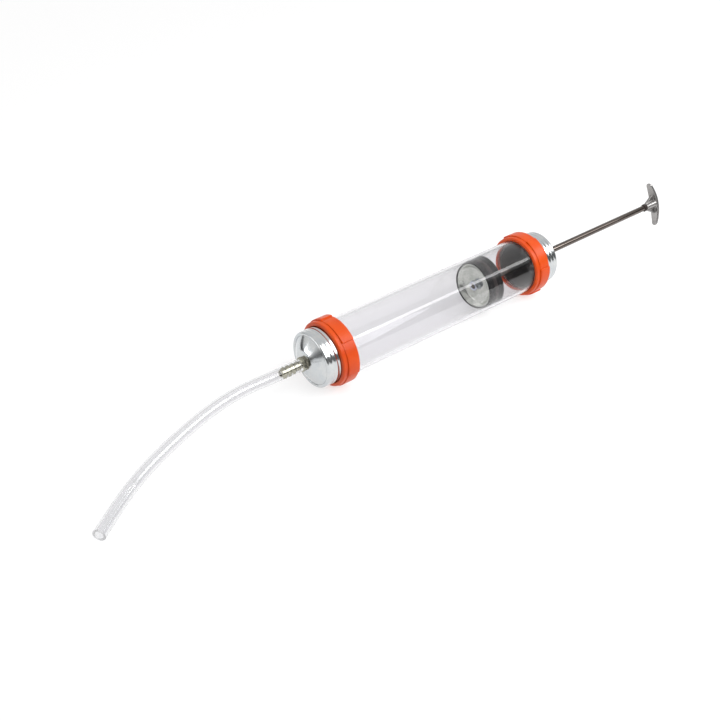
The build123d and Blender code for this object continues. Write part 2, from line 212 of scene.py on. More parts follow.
class Tree:
    """A node tree that is being written."""

    def __init__(self, tree):
        self.tree = tree

    def math(self, operation, first, second=0.0):
        return self.node("ShaderNodeMath", {"operation": operation}, {0: first, 1: second})

    def node(self, kind, settings={}, inputs={}, output=0):
        """Adds a node, its settings first and then its sockets, and returns one output."""
        made = self.tree.nodes.new(kind)
        for name, value in settings.items():
            setattr(made, name, value)
        for name, value in inputs.items():
            if isinstance(value, Socket):
                self.tree.links.new(value.socket, made.inputs[name])
            else:
                made.inputs[name].default_value = value
        return Socket(self, made.outputs[output]) if made.outputs else made

    def smooth(self, value, low, high):
        """0 below low, 1 above high, and an S-curve between."""
        return self.node("ShaderNodeMapRange", {"interpolation_type": "SMOOTHSTEP"},
                         {"Value": value, "From Min": low, "From Max": high})

    def mix(self, share, first, second):
        """Colour between two colours."""
        return self.node("ShaderNodeMix", {"data_type": "RGBA"}, {0: share, 6: first, 7: second}, 2)

    def split(self, vector):
        """The x, y and z of a vector."""
        return [self.node("ShaderNodeSeparateXYZ", {}, {"Vector": vector}, k) for k in range(3)]


class Finish(Tree):
    """A material with one Principled shader."""

    def __init__(self, name):
        self.material = bpy.data.materials.new(name)
        self.material.use_nodes = True
        super().__init__(self.material.node_tree)
        self.tree.nodes.clear()
        self.places = self.node("ShaderNodeTexCoord", {}, {}, "Object")

    def placed(self, scale=(1, 1, 1), location=(0, 0, 0)):
        """Object coordinates, moved and then stretched."""
        moved = self.node("ShaderNodeVectorMath", {"operation": "SUBTRACT"},
                          {0: self.places, 1: location})
        return self.node("ShaderNodeMapping", {}, {"Vector": moved, "Scale": scale})

    def lathe(self, fine, around):
        """Places for marks that run in rings round the barrel's axis."""
        x, y, z = self.split(self.places)
        z = z - axis
        radius = (y * y + z * z) ** 0.5 + 1e-6
        return self.node("ShaderNodeCombineXYZ", {}, {
            "X": (x + radius * 1.3) * fine, "Y": y / radius * around, "Z": z / radius * around})

    def noise(self, scale, vector=None, detail=3.0, roughness=0.5):
        """Soft random values from 0 to 1."""
        return self.node("ShaderNodeTexNoise", {}, {
            "Vector": vector or self.places, "Scale": scale, "Detail": detail,
            "Roughness": roughness})

    def bump(self, height, strength, distance):
        return self.node("ShaderNodeBump", {}, {
            "Height": height, "Strength": strength, "Distance": distance})

    def surface(self, inputs):
        shader = self.node("ShaderNodeBsdfPrincipled", {}, inputs)
        self.node("ShaderNodeOutputMaterial", {}, {"Surface": shader})
        return self.material

    def clear_surface(self, inputs, cut=None):
        """Principled glass that lets the lamps' light through to what is behind it.
        Where cut is 1 the face is matt, as a blade leaves it."""
        shader = self.node("ShaderNodeBsdfPrincipled", {}, inputs)
        if cut:
            matt = self.node("ShaderNodeBsdfPrincipled", {}, {
                "Base Color": (0.78, 0.78, 0.79, 1), "Roughness": 0.5, "Alpha": 0.85})
            shader = self.node("ShaderNodeMixShader", {}, {0: cut, 1: shader, 2: matt})
        lamp_ray = self.node("ShaderNodeLightPath", {}, {}, "Is Shadow Ray")
        through = self.node("ShaderNodeBsdfTransparent", {}, {"Color": inputs["Base Color"]})
        both = self.node("ShaderNodeMixShader", {}, {0: lamp_ray, 1: shader, 2: through})
        self.node("ShaderNodeOutputMaterial", {}, {"Surface": both})
        return self.material


clear_hose = Finish("clear_hose")
die_lines = clear_hose.noise(1.0, clear_hose.placed((10, 260, 260)), 1.0)
hose_points = hose_line(hose_route)
hose_end = hose_points[-1]
hose_way = (hose_end - hose_points[-2]).normalized()
past_end = clear_hose.node("ShaderNodeVectorMath", {"operation": "DOT_PRODUCT"}, {
    0: clear_hose.placed(location=hose_end), 1: hose_way}, "Value")
clear_hose_material = clear_hose.clear_surface({
    "Base Color": (0.85, 0.85, 0.86, 1),
    "Roughness": 0.04,
    "IOR": 1.5,
    "Transmission Weight": 1.0,
    "Normal": clear_hose.bump(die_lines, 0.04, 0.0002),
}, clear_hose.smooth(past_end, -0.30 * mm, -0.05 * mm))
hose = hose_tube("clear_hose", hose_points, clear_hose_material)
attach(hose, "front_head")
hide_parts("hose")


# Table and studio: a pale table lit a little from below, a pale room that is dark low down on
# the camera's side, one soft lamp and a few windows. The metal takes its dark bands from there.
table = new_piece("table", [(-4, -4, 0), (4, -4, 0), (4, 4, 0), (-4, 4, 0)], [(0, 1, 2, 3)], None)
table_top = Finish("table_top")
speckle = table_top.noise(90.0)
table.data.materials[0] = table_top.surface({
    "Base Color": table_top.mix(speckle, (0.32, 0.32, 0.32, 1), (0.34, 0.34, 0.34, 1)),
    "Roughness": 0.6,
    "Specular IOR Level": 0.2,
    "Emission Color": (1, 1, 1, 1),
    "Emission Strength": 0.68,
})

room = bpy.data.worlds.new("room")
bpy.context.scene.world = room
room.use_nodes = True
room_tree = Tree(room.node_tree)
room.node_tree.nodes.clear()
_, room_y, room_z = room_tree.split(room_tree.node("ShaderNodeTexCoord", {}, {}, "Generated"))
camera_side = 1 - room_tree.smooth(room_y, -0.05, 0.3)
low_down = 1 - room_tree.smooth(room_z, 0.40, 0.58)
wall_shade = 0.82
dark_share = 0.68
room_shade = wall_shade - dark_share * camera_side * low_down
light_out = room_tree.node("ShaderNodeBackground", {}, {"Color": room_shade, "Strength": 1.0})
room_tree.node("ShaderNodeOutputWorld", {}, {"Surface": light_out})


# One low, wide lamp on the hose's side lights the front cap's dome.
dome_centre = Vector((-0.2554, 0.0, 0.035))
side_box = bpy.data.lights.new("hose_side_box", "AREA")
side_box.shape = "RECTANGLE"
side_box.size = 0.52
side_box.size_y = 0.165
side_box.energy = 3.2 * pi * side_box.size * side_box.size_y
side_box_light = bpy.data.objects.new("hose_side_box", side_box)
bpy.context.scene.collection.objects.link(side_box_light)
side_box_light.location = (-1.13, 0.485, 0.122)
side_box_light.rotation_euler = (
    dome_centre - side_box_light.location).to_track_quat("-Z", "Y").to_euler()

# The windows: light panels on one sloping plane, with the rise of the plane and its middle.
window_middle = Vector((0, -0.59, 0.75))
window_rise = Vector((0, 0.771, 0.636))


def light_panel(name, outline, radiance):
    """A flat white panel that gives light, on the windows' plane; outline is (x, up)."""
    corners = [window_middle + Vector((x, 0, 0)) + window_rise * up for x, up in outline]
    glow = Finish(name)
    grey = glow.mix(glow.noise(3.0), (0.97, 0.97, 0.97, 1), (1, 1, 1, 1))
    panel = new_piece(name, corners, [tuple(range(len(corners)))], glow.surface({
        "Base Color": (0, 0, 0, 1), "Roughness": 1.0,
        "Emission Color": grey, "Emission Strength": radiance}), 35, False)
    panel.visible_camera = False


light_panel("hose_end_window", [(-0.42, -0.42), (0.31, -0.42), (0.655, -0.01), (0.31, 0.40),
                                (-0.42, 0.40)], 4.4)
light_panel("piston_strip", [(0.66, 0.0), (0.75, -0.12), (0.92, -0.15), (0.92, 0.20), (0.75, 0.14)], 14.0)
light_panel("handle_end_window", [(0.92, -0.27), (1.5, -0.27), (1.5, 0.27), (0.92, 0.27)], 3.2)

# A low black card, seen only in reflections, draws the dark line round the front cap's dome.
card_reach = 0.31
card_height = 0.054
card_start, card_turn = 108, 72
card_folds = 12
card_angles = [radians(card_start + card_turn * k / card_folds) for k in range(card_folds + 1)]
card_foot = [Vector((dome_centre.x + card_reach * cos(a), card_reach * sin(a), 0.0))
             for a in card_angles]
card_top = [foot + Vector((0, 0, card_height)) for foot in card_foot]
card_faces = [(k, k + 1, k + card_folds + 2, k + card_folds + 1) for k in range(card_folds)]
card = new_piece("black_card", card_foot + card_top, card_faces, None, 35, False)
card_felt = Finish("card_felt")
card.data.materials[0] = card_felt.surface({
    "Base Color": card_felt.mix(card_felt.noise(900.0), (0.01, 0.01, 0.01, 1), (0.03, 0.03, 0.03, 1)),
    "Roughness": 0.9,
})
card.visible_camera = card.visible_diffuse = card.visible_transmission = card.visible_shadow = False


# Barrel: a clear, extruded acrylic tube, polished, with a small bead turned on each end.
# The ring nuts' lips snap over the beads. Fine scuffs run along it from the piston's travel.
def rounded(corners, steps=4):
    """Outline through corners (x, radius, round, share), each turned into an arc of its round."""
    outline = []
    for k, (x, r, turn, share) in enumerate(corners):
        corner = Vector((x, r))
        if turn <= 0:
            outline.append((x, r, share))
            continue
        before = Vector(corners[k - 1][:2]) - corner
        after = Vector(corners[(k + 1) % len(corners)][:2]) - corner
        half = before.angle(after) / 2
        cut = min(turn * cos(half) / sin(half), 0.48 * before.length, 0.48 * after.length)
        bend = cut * sin(half) / cos(half)
        middle = corner + (before.normalized() + after.normalized()).normalized() * bend / sin(half)
        first = corner + before.normalized() * cut - middle
        last = corner + after.normalized() * cut - middle
        for j in range(steps + 1):
            spoke = first.slerp(last, j / steps).normalized() * first.length
            outline.append((*(middle + spoke), share))
    return outline


def turned(name, outline, material, angles=128, sharp=35):
    """Closed outline (x, radius, share) turned round the barrel's axis; share is kept on it."""
    if isinstance(angles, int):
        angles = [2 * pi * k / angles for k in range(angles)]
    around = len(angles)
    vertices = []
    shares = []
    loops = []
    for x, r, share in outline:
        pole = r < 1e-6
        loops.append((len(vertices), pole))
        for angle in angles[:1] if pole else angles:
            vertices.append((x, r * cos(angle), axis + r * sin(angle)))
            shares.append(share)
    faces = []
    for k, (first, first_pole) in enumerate(loops):
        second, second_pole = loops[(k + 1) % len(loops)]
        for j in range(around):
            i = (j + 1) % around
            if first_pole and second_pole:
                continue
            if first_pole:
                faces.append((first, second + i, second + j))
            elif second_pole:
                faces.append((first + j, first + i, second))
            else:
                faces.append((first + j, first + i, second + i, second + j))
    piece = new_piece(name, vertices, faces, material, sharp)
    piece.data.attributes.new("share", "FLOAT", "POINT").data.foreach_set("value", shares)
    return piece


def finished(piece, body, slot, *nodes):
    """The piece rides on a body and stands for its CAD nodes; the slot argument is not used."""
    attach(piece, body)
    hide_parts(*nodes)
    return piece


barrel_radius = 30 * mm
barrel_bore = 26.8 * mm
bead_radius = (barrel_high.z - barrel_low.z) / 2
bead_width = 1.6 * mm

clear_barrel = Finish("clear_barrel")
scuffs = clear_barrel.noise(1.0, clear_barrel.placed((3, 900, 900)), 4.0, 0.7)
wave = clear_barrel.noise(1.0, clear_barrel.placed((12, 30, 30)), 1.0)
from_middle = abs(clear_barrel.split(clear_barrel.places)[0] - (barrel_low.x + barrel_high.x) / 2)
half_barrel = (barrel_high.x - barrel_low.x) / 2
turned_end = clear_barrel.smooth(from_middle, half_barrel - 4 * mm, half_barrel - 2 * mm)
clear_barrel_material = clear_barrel.clear_surface({
    "Base Color": (0.86, 0.855, 0.87, 1),
    "Roughness": clear_barrel.smooth(scuffs, 0.62, 0.9) * 0.12 + turned_end * 0.35 + 0.015,
    "IOR": 1.49,
    "Transmission Weight": 1.0,
    "Normal": clear_barrel.bump(wave, 0.04, 0.0004),
})
polish = 0.3 * mm
barrel = turned("clear_barrel", rounded([
    (barrel_low.x, barrel_bore, polish, 0),
    (barrel_low.x, bead_radius, polish, 0),
    (barrel_low.x + bead_width, bead_radius, polish, 0),
    (barrel_low.x + bead_width, barrel_radius, polish, 0),
    (barrel_high.x - bead_width, barrel_radius, polish, 0),
    (barrel_high.x - bead_width, bead_radius, polish, 0),
    (barrel_high.x, bead_radius, polish, 0),
    (barrel_high.x, barrel_bore, polish, 0),
]), clear_barrel_material, 192)
finished(barrel, "barrel", "clear_barrel", "barrel_tube")


# Ring nuts: injection-moulded orange nylon, snapped over the barrel's beads, free to turn.
# Six ratchet-shaped grip lugs stand on each, beside a plain rounded shoulder.
ring_width = 18.5 * mm
lug_length = 13.4 * mm
lug_count = 6
foot_angle = 14.0
lug_crest = 35.6 * mm
lug_heel = lug_crest * (cos(radians(foot_angle)) - foot_angle / 60) / (1 - foot_angle / 60)
rim_radius = 33.8 * mm
rim_round = 3.0 * mm
thread_bore = 29.73 * mm
thread_pitch = 4.5 * mm
thread_depth = 0.8 * mm
thread_runout = 1.6 * mm
thread_start = 5.0 * mm
ring_lip = 1.8 * mm
lip_bore = 30.08 * mm
bead_bore = 31.58 * mm
gasket_start = 3.5 * mm


def baked(piece, sharp=35):
    """What the modifiers make becomes the piece's plain mesh."""
    bpy.context.view_layer.update()
    graph = bpy.context.evaluated_depsgraph_get()
    mesh = bpy.data.meshes.new_from_object(piece.evaluated_get(graph))
    piece.modifiers.clear()
    piece.data = mesh
    mesh.set_sharp_from_angle(angle=radians(sharp))
    return piece


class Shape(Tree):
    """A geometry rule with named sizes, which moves the points of a piece."""

    def __init__(self, name, sizes):
        tree = bpy.data.node_groups.new(name, "GeometryNodeTree")
        super().__init__(tree)
        tree.interface.new_socket("Geometry", in_out="INPUT", socket_type="NodeSocketGeometry")
        for size in sizes:
            tree.interface.new_socket(size, in_out="INPUT", socket_type="NodeSocketFloat")
        tree.interface.new_socket("Material", in_out="INPUT", socket_type="NodeSocketMaterial")
        tree.interface.new_socket("Geometry", in_out="OUTPUT", socket_type="NodeSocketGeometry")
        source = tree.nodes.new("NodeGroupInput")
        self.given = {out.name: Socket(self, out) for out in source.outputs if out.name}
        self.x, y, z = self.split(self.node("GeometryNodeInputPosition"))
        z = z - self.given["Axis height"]
        self.angle = self.math("ARCTAN2", z, y)
        self.radius = (y * y + z * z) ** 0.5
        self.outward = self.node("ShaderNodeCombineXYZ", {}, {
            "Y": y / self.radius, "Z": z / self.radius})
        self.share = self.node("GeometryNodeInputNamedAttribute", {"data_type": "FLOAT"},
                               {"Name": "share"})

    def move_out(self, height):
        """Ends the rule: each point moves out from the axis by a height."""
        offset = self.node("ShaderNodeVectorMath", {"operation": "SCALE"}, {
            0: self.outward, "Scale": height})
        moved = self.node("GeometryNodeSetPosition", {}, {
            "Geometry": self.given["Geometry"], "Offset": offset})
        real = self.node("GeometryNodeRealizeInstances", {}, {0: moved})
        done = self.node("GeometryNodeSetMaterial", {}, {
            "Geometry": real, "Material": self.given["Material"]})
        self.node("NodeGroupOutput", {}, {"Geometry": done})

    def applied(self, piece, sizes, sharp=35):
        """Runs the rule on a piece and keeps the result as its plain mesh."""
        modifier = piece.modifiers.new(self.tree.name, "NODES")
        modifier.node_group = self.tree
        sizes = {name: float(value) for name, value in sizes.items()}
        given = {**sizes, "Material": piece.data.materials[0], "Axis height": axis}
        for item in self.tree.interface.items_tree:
            if item.in_out == "INPUT" and item.name in given:
                modifier[item.identifier] = given[item.name]
        return baked(piece, sharp)


# Grip lugs: the outline climbs to a crest and drops at a step, again and again.
grip_lugs = Shape("grip_lugs", ["Axis height", "Count", "Crest", "Drop", "Base", "Step angle",
                               "Turn"])
sizes = grip_lugs.given
along = (grip_lugs.angle - sizes["Step angle"]) * sizes["Turn"] * sizes["Count"] / (2 * pi)
along = grip_lugs.math("FRACT", along + 1e-5)
crest_edge = (1 - grip_lugs.smooth(along, 0.0, 0.012)) * (0.25 * mm)
lug_radius = sizes["Crest"] - sizes["Drop"] * along - crest_edge
on_lug = grip_lugs.math("MAXIMUM", grip_lugs.share, 0.0)
grip_lugs.move_out((lug_radius - sizes["Base"]) * on_lug)

# Rolled thread: rounded ridges that wind right-handed round the axis.
rolled_thread = Shape("rolled_thread", ["Axis height", "Pitch", "Depth", "Start"])
sizes = rolled_thread.given
turns = (rolled_thread.x - sizes["Start"]) / sizes["Pitch"] - rolled_thread.angle / (2 * pi)
from_crest = abs(rolled_thread.math("FRACT", turns) - 0.5)
ridge = 1 - rolled_thread.smooth(from_crest, 0.02, 0.42)
rolled_thread.move_out(ridge * sizes["Depth"] * rolled_thread.share)

orange_nylon = Finish("orange_nylon")
flow = orange_nylon.noise(55.0, None, 4.0)
grain = orange_nylon.noise(2600.0, None, 2.0)
orange_material = orange_nylon.surface({
    "Base Color": orange_nylon.mix(orange_nylon.smooth(flow, 0.3, 0.7),
                                   (0.56, 0.052, 0.001, 1), (0.63, 0.068, 0.002, 1)),
    "Roughness": grain * 0.14 + 0.28,
    "Specular IOR Level": 0.3,
    "Subsurface Weight": 0.12,
    "Subsurface Radius": (0.004, 0.0012, 0.0005),
    "Subsurface Scale": 0.4,
    "Normal": orange_nylon.bump(grain * 0.7 + flow, 0.12, 0.0003),
})


def stations(start, end, step):
    """Places from start to end, about a step apart."""
    count = ceil(abs(end - start) / step)
    return [start + (end - start) * k / count for k in range(count + 1)]


def thread_share(place, start, end):
    """How much of the thread stands at a place: none at its two ends."""
    return max(0.0, min(1.0, min(abs(place - start), abs(place - end)) / thread_runout))


def lug_angles(step_angle, turn):
    """Places round the ring: close together beside each step, wider on the slopes."""
    shares = [0.0, 0.004, 0.009, 0.016, 0.03] + [0.05 + 0.9 * k / 18 for k in range(19)] + [
        0.975, 0.988, 0.994]
    lug = 2 * pi / lug_count
    angles = [radians(step_angle) + turn * lug * (k + s) for k in range(lug_count) for s in shares]
    return sorted(angle % (2 * pi) for angle in angles)


def ring_nut(name, node, body, end):
    """Ring nut on one end of the barrel; end is -1 at the hose and 1 at the handle.
    The plain shoulder faces the hose on both, and the barrel's lip is on the barrel side."""
    low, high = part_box(node)
    face = high.x if end < 0 else low.x
    lug_end = high.x - lug_length
    edge = 0.3 * mm
    tops = 6
    outside = [(high.x, rim_radius, 0, 0.85)]
    outside += [(high.x - edge - (lug_length - 3 * edge) * k / tops, rim_radius, 0, 1)
                for k in range(tops + 1)]
    outside += [(lug_end + edge, rim_radius, 0, 0.9), (lug_end, rim_radius, 0, 0.7),
                (lug_end, rim_radius, 0, 0), (low.x, rim_radius, rim_round, 0)]
    inside = [(ring_width, thread_bore + 0.5 * mm, 0, 0)]
    inside += [(out, thread_bore, 0, -thread_share(out, gasket_start, ring_width))
               for out in stations(ring_width - 0.5 * mm, gasket_start, 0.4 * mm)]
    inside += [(gasket_start, bead_bore, 0, 0), (ring_lip, bead_bore, 0, 0),
               (ring_lip, lip_bore, edge, 0), (0, lip_bore, edge, 0)]
    inside = [(face + end * out, radius, turn, share) for out, radius, turn, share in inside]
    corners = outside + (inside if end < 0 else inside[::-1])
    step_angle = 270 + end * foot_angle
    piece = turned(name, rounded(corners, 6), orange_material, lug_angles(step_angle, end))
    grip_lugs.applied(piece, {
        "Count": lug_count, "Crest": lug_crest, "Drop": lug_crest - lug_heel, "Base": rim_radius,
        "Step angle": radians(step_angle), "Turn": end})
    for item in piece.data.attributes["share"].data:
        item.value = max(-item.value, 0.0)
    rolled_thread.applied(piece, {
        "Pitch": thread_pitch, "Depth": thread_depth, "Start": face + end * thread_start})
    return finished(piece, body, "orange_plastic", node)


ring_nut("front_ring_nut", "front_ring", "front_ring", -1)
ring_nut("rear_ring_nut", "rear_ring", "rear_ring", 1)


# Metal caps: pressed from 1 mm steel and zinc plated, with a thread rolled into the skirt.
# Each screws into its ring nut. A rolled rim runs round the dome, and a flat land tops it.
cap_sheet = 1.0 * mm
cap_land = 12.5 * mm
cap_rim_radius = 29.3 * mm
cap_rim = 3.0 * mm
cap_corner = 2.0 * mm
skirt_root = 29.2 * mm
skirt_bore = 28.2 * mm
rolled_depth = 0.3 * mm
dome_bend = 1.12
rim_start = -0.9             # where the rim's round begins, inside its highest line
front_rise, rear_rise = 7.0 * mm, 3.0 * mm
barb_hole, bush_hole = 5.1 * mm, 7.6 * mm


def zinc_plate(name, dull, bright):
    """Zinc plate with a passivation bloom and the fine rings of the press tool."""
    zinc = Finish(name)
    bloom = zinc.noise(75.0, None, 5.0, 0.6)
    rings = zinc.noise(1.0, zinc.lathe(2600.0, 0.8), 3.0, 0.6)
    handling = zinc.smooth(zinc.noise(1.0, zinc.lathe(420.0, 9.0), 4.0, 0.7), 0.6, 0.78)
    return zinc.surface({
        "Base Color": zinc.mix(zinc.smooth(bloom, 0.3, 0.72), dull, bright),
        "Metallic": 1.0,
        "Roughness": bloom * 0.09 + rings * 0.04 + handling * 0.08 + 0.10,
        "Normal": zinc.bump(rings, 0.05, 0.0002),
    })


cap_zinc = zinc_plate("cap_zinc", (0.545, 0.57, 0.59, 1), (0.63, 0.64, 0.635, 1))


def pressed_cap(name, node, body, end, rise, hole):
    """Cap on one end; its dome rises from the rolled rim to the flat land round the hole."""
    low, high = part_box(node)
    land, mouth = (low.x, high.x) if end < 0 else (high.x, low.x)
    edge = land - end * rise
    foot = cap_rim_radius - cap_corner
    valley = foot + cap_corner * sin(rim_start)
    valley_drop = cap_corner * (1 - cos(rim_start))
    skirt_end = edge - end * cap_rim
    shares = [k / 16 for k in range(17)]
    fall = rise + valley_drop
    dome = [(land - end * fall * u**dome_bend, cap_land + (valley - cap_land) * u) for u in shares]
    turns = [rim_start + (pi / 2 - rim_start) * k / 12 for k in range(1, 13)]
    corner = [(edge - end * cap_corner * (1 - cos(a)), foot + cap_corner * sin(a)) for a in turns]
    skirt = [(x, thread_share(x, skirt_end, mouth)) for x in stations(skirt_end, mouth, 0.35 * mm)]
    inside_skirt = [(x, thread_share(x, skirt_end, mouth))
                    for x in stations(mouth, edge - end * cap_sheet, 0.35 * mm)]
    outline = [(land, hole, 0)]
    outline += [(x, r, 0) for x, r in dome + corner]
    outline += [(skirt_end + end * 0.3 * mm, cap_rim_radius, 0)]
    outline += [(x, skirt_root, share) for x, share in skirt]
    outline += [(x, skirt_bore, share) for x, share in inside_skirt]
    outline += [(x - end * cap_sheet, r, 0) for x, r in dome[::-1]]
    outline += [(land - end * cap_sheet, hole, 0)]
    piece = turned(name, outline, cap_zinc, 160, 28)
    rolled_thread.applied(piece, {"Pitch": thread_pitch, "Depth": rolled_depth, "Start": mouth}, 28)
    return finished(piece, body, "zinc_steel", node)


pressed_cap("front_cap_pressing", "front_cap", "front_head", -1, front_rise, barb_hole)
rear_cap = pressed_cap("rear_cap_pressing", "rear_cap", "rear_head", 1, rear_rise, bush_hole)

# Vent hole, drilled near the top of the rear cap's dome.
vent_radius = 1.5 * mm
vent_height = axis + 18 * mm
vent_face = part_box("rear_cap")[1].x
sides = 40
drill_points = [(x, vent_radius * cos(2 * pi * k / sides),
                 vent_height + vent_radius * sin(2 * pi * k / sides))
                for x in (vent_face - 5 * mm, vent_face + 1 * mm) for k in range(sides)]
drill_faces = [(k, (k + 1) % sides, sides + (k + 1) % sides, sides + k) for k in range(sides)]
drill_faces += [tuple(range(sides)), tuple(range(sides, 2 * sides))]
drill = new_piece("drill", drill_points, drill_faces, cap_zinc)
bore = rear_cap.modifiers.new("vent", "BOOLEAN")
bore.operation = "DIFFERENCE"
bore.object = drill
baked(rear_cap, 28)
bpy.data.objects.remove(drill)


# Gaskets: flat nitrile rings, cut from sheet, between the barrel's ends and the caps' skirts.
# The rod's O-ring is of the same rubber.
def refinish(material, *nodes):
    """A CAD piece whose shape is right keeps its shape and takes a better material."""
    for node in nodes:
        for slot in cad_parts[node].material_slots:
            slot.material = material


def nitrile(name, grain):
    """Black rubber with a fine grain and a little bloom."""
    rubber = Finish(name)
    grit = rubber.noise(grain, None, 3.0)
    bloom = rubber.noise(120.0, None, 4.0)
    return rubber.surface({
        "Base Color": rubber.mix(bloom, (0.006, 0.006, 0.006, 1), (0.014, 0.013, 0.013, 1)),
        "Roughness": grit * 0.2 + 0.32,
        "Specular IOR Level": 0.12,
        "Normal": rubber.bump(grit, 0.2, 0.00015),
    })


refinish(nitrile("gasket_rubber", 1800.0), "front_gasket", "rear_gasket", "rod_seal")


# Hose barb: turned from nickel-plated brass bar, its hexagon left from the bar. Its shank goes
# through the front cap, over a fibre washer, and a nut clamps it from inside.
hexagon = Shape("hexagon", ["Axis height", "Apothem", "Start", "End"])
sizes = hexagon.given
side_share = hexagon.math("FRACT", hexagon.angle / (pi / 3) + 6)
side_angle = (side_share - 0.5) * (pi / 3)
flat_radius = sizes["Apothem"] / hexagon.math("COSINE", side_angle)
from_end = hexagon.math("MINIMUM", hexagon.x - sizes["Start"], sizes["End"] - hexagon.x)
cone_radius = sizes["Apothem"] * 0.95 + from_end * 3**0.5
hex_radius = hexagon.math("MINIMUM", flat_radius, cone_radius)
hexagon.move_out((hex_radius - hexagon.radius) * hexagon.share)


def hex_side(start, end, apothem):
    """Outline of a hexagon's outside, with stations close together at its chamfers."""
    near = [0.13 * apothem * k / 8 for k in range(9)]
    return ([(start + reach, apothem * 0.94, 1) for reach in near]
            + [(end - reach, apothem * 0.94, 1) for reach in near[::-1]])


def hexed(name, outline, material, start, end, apothem):
    """Turned piece whose outline has a hexagon between start and end."""
    piece = turned(name, outline, material, 96)
    hexagon.applied(piece, {"Apothem": apothem, "Start": start, "End": end})
    return piece


nickel = Finish("nickel_plate")
nickel_bloom = nickel.noise(160.0, None, 4.0)
tool_marks = nickel.noise(1.0, nickel.lathe(3000.0, 0.6), 3.0)
nickel_plate = nickel.surface({
    "Base Color": nickel.mix(nickel_bloom, (0.34, 0.33, 0.26, 1), (0.50, 0.48, 0.39, 1)),
    "Metallic": 1.0,
    "Roughness": nickel_bloom * 0.12 + tool_marks * 0.08 + 0.10,
    "Normal": nickel.bump(tool_marks, 0.08, 0.0002),
})
barb_bore = 2.4 * mm
barb_shank = 5.0 * mm
barb_apothem = 6.5 * mm
washer_radius = 7.0 * mm
barb_low, barb_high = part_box("hose_barb")
hex_face = hose_start.x
hex_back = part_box("barb_washer")[0].x
break_edge = 0.15 * mm
tail = []
for k in range(barb_ridges):
    ridge = hex_face - barb_neck - barb_ridge * k
    tail += [(ridge, barb_core, 0, 0), (ridge, barb_crest, break_edge, 0)]
barb_outline = rounded([(barb_high.x, barb_bore, break_edge, 0),
                        (barb_high.x, barb_shank, 0.5 * mm, 0), (hex_back, barb_shank, 0, 0)], 3)
barb_outline += hex_side(hex_face, hex_back, barb_apothem)[::-1]
barb_outline += rounded([(hex_face, barb_core, 0, 0)] + tail + [
    (barb_low.x, barb_core, break_edge, 0), (barb_low.x, barb_bore, break_edge, 0)], 3)
barb = hexed("nickel_barb", barb_outline, nickel_plate, hex_face, hex_back, barb_apothem)
finished(barb, "front_head", "nickel_brass", "hose_barb")


def band(start, end, inner, outer, turn):
    """Outline of a plain ring between two distances and two radii, with broken edges."""
    return rounded([(start, inner, turn, 0), (start, outer, turn, 0), (end, outer, turn, 0),
                    (end, inner, turn, 0)])


fibre = Finish("vulcanised_fibre")
fibres = fibre.noise(1.0, fibre.placed((500, 2500, 900)), 4.0)
washer_low, washer_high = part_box("barb_washer")
washer = turned("fibre_washer", band(
    washer_low.x, washer_high.x, barb_hole, washer_radius, 0.2 * mm), fibre.surface({
        "Base Color": fibre.mix(fibres, (0.20, 0.18, 0.14, 1), (0.28, 0.26, 0.21, 1)),
        "Roughness": fibres * 0.2 + 0.6,
        "Normal": fibre.bump(fibres, 0.3, 0.0001),
    }))
finished(washer, "front_head", "fibre", "barb_washer")


# Nuts: hexagon nuts, zinc plated, chamfered on both faces. One clamps the barb, one the rod
# bush, two hold the piston's stack on its stud, and a blackened one locks the handle.
steel_zinc = zinc_plate("nut_zinc", (0.52, 0.55, 0.63, 1), (0.66, 0.69, 0.76, 1))


def hex_nut(node, body, slot, material, bore):
    """Nut in a CAD nut's place, with its flats turned the same way."""
    low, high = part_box(node)
    apothem = (high.z - low.z) / 2
    sink = 0.4 * mm
    outline = [(low.x, bore + sink, 0)] + hex_side(low.x, high.x, apothem)
    outline += [(high.x, bore + sink, 0), (high.x - sink, bore, 0), (low.x + sink, bore, 0)]
    piece = hexed(node + "_hexagon", outline, material, low.x, high.x, apothem)
    return finished(piece, body, slot, node)


stud_bore = 3.1 * mm
handle_stud_bore = 2.6 * mm
hex_nut("barb_nut", "front_head", "bright_steel", steel_zinc, barb_hole)
hex_nut("bush_nut", "rear_head", "bright_steel", steel_zinc, bush_hole)
hex_nut("piston_nut", "plunger", "bright_steel", steel_zinc, stud_bore)
hex_nut("rear_nut", "plunger", "bright_steel", steel_zinc, stud_bore)

blackened = Finish("black_oxide")
oxide = blackened.noise(300.0, None, 4.0)
hex_nut("lock_nut", "plunger", "black_steel", blackened.surface({
    "Base Color": blackened.mix(oxide, (0.035, 0.028, 0.026, 1), (0.075, 0.06, 0.055, 1)),
    "Metallic": 0.7,
    "Roughness": oxide * 0.2 + 0.28,
    "Normal": blackened.bump(oxide, 0.1, 0.0002),
}), handle_stud_bore)


# Stop sleeve: an extruded tube, cut to length, coloured near black: dark grey plastic plus painted
# shade that stands for the shadowed inside of the rear cap. It stands inside the rear cap, between
# the cap's dome and the barrel's mouth, and its front edge ends the piston's travel.
sleeve_low, sleeve_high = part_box("stop_sleeve")
sleeve_outer = (sleeve_high.z - sleeve_low.z) / 2
sleeve_wall = 1.2 * mm
sleeve_grey = Finish("sleeve_grey")
drawn = sleeve_grey.noise(1.0, sleeve_grey.placed((15, 700, 700)), 3.0)
sleeve = turned("grey_stop_sleeve", band(
    sleeve_low.x, sleeve_high.x, sleeve_outer - sleeve_wall, sleeve_outer, 0.25 * mm),
    sleeve_grey.surface({
        # Near-black base colour: the sleeve's dark grey plus painted shade for the inside of the rear
        # cap.
        "Base Color": sleeve_grey.mix(drawn, (0.034, 0.027, 0.025, 1), (0.052, 0.043, 0.040, 1)),
        "Roughness": drawn * 0.2 + 0.34,
        "Normal": sleeve_grey.bump(drawn, 0.1, 0.0002),
    }))
finished(sleeve, "rear_head", "grey_plastic", "stop_sleeve")


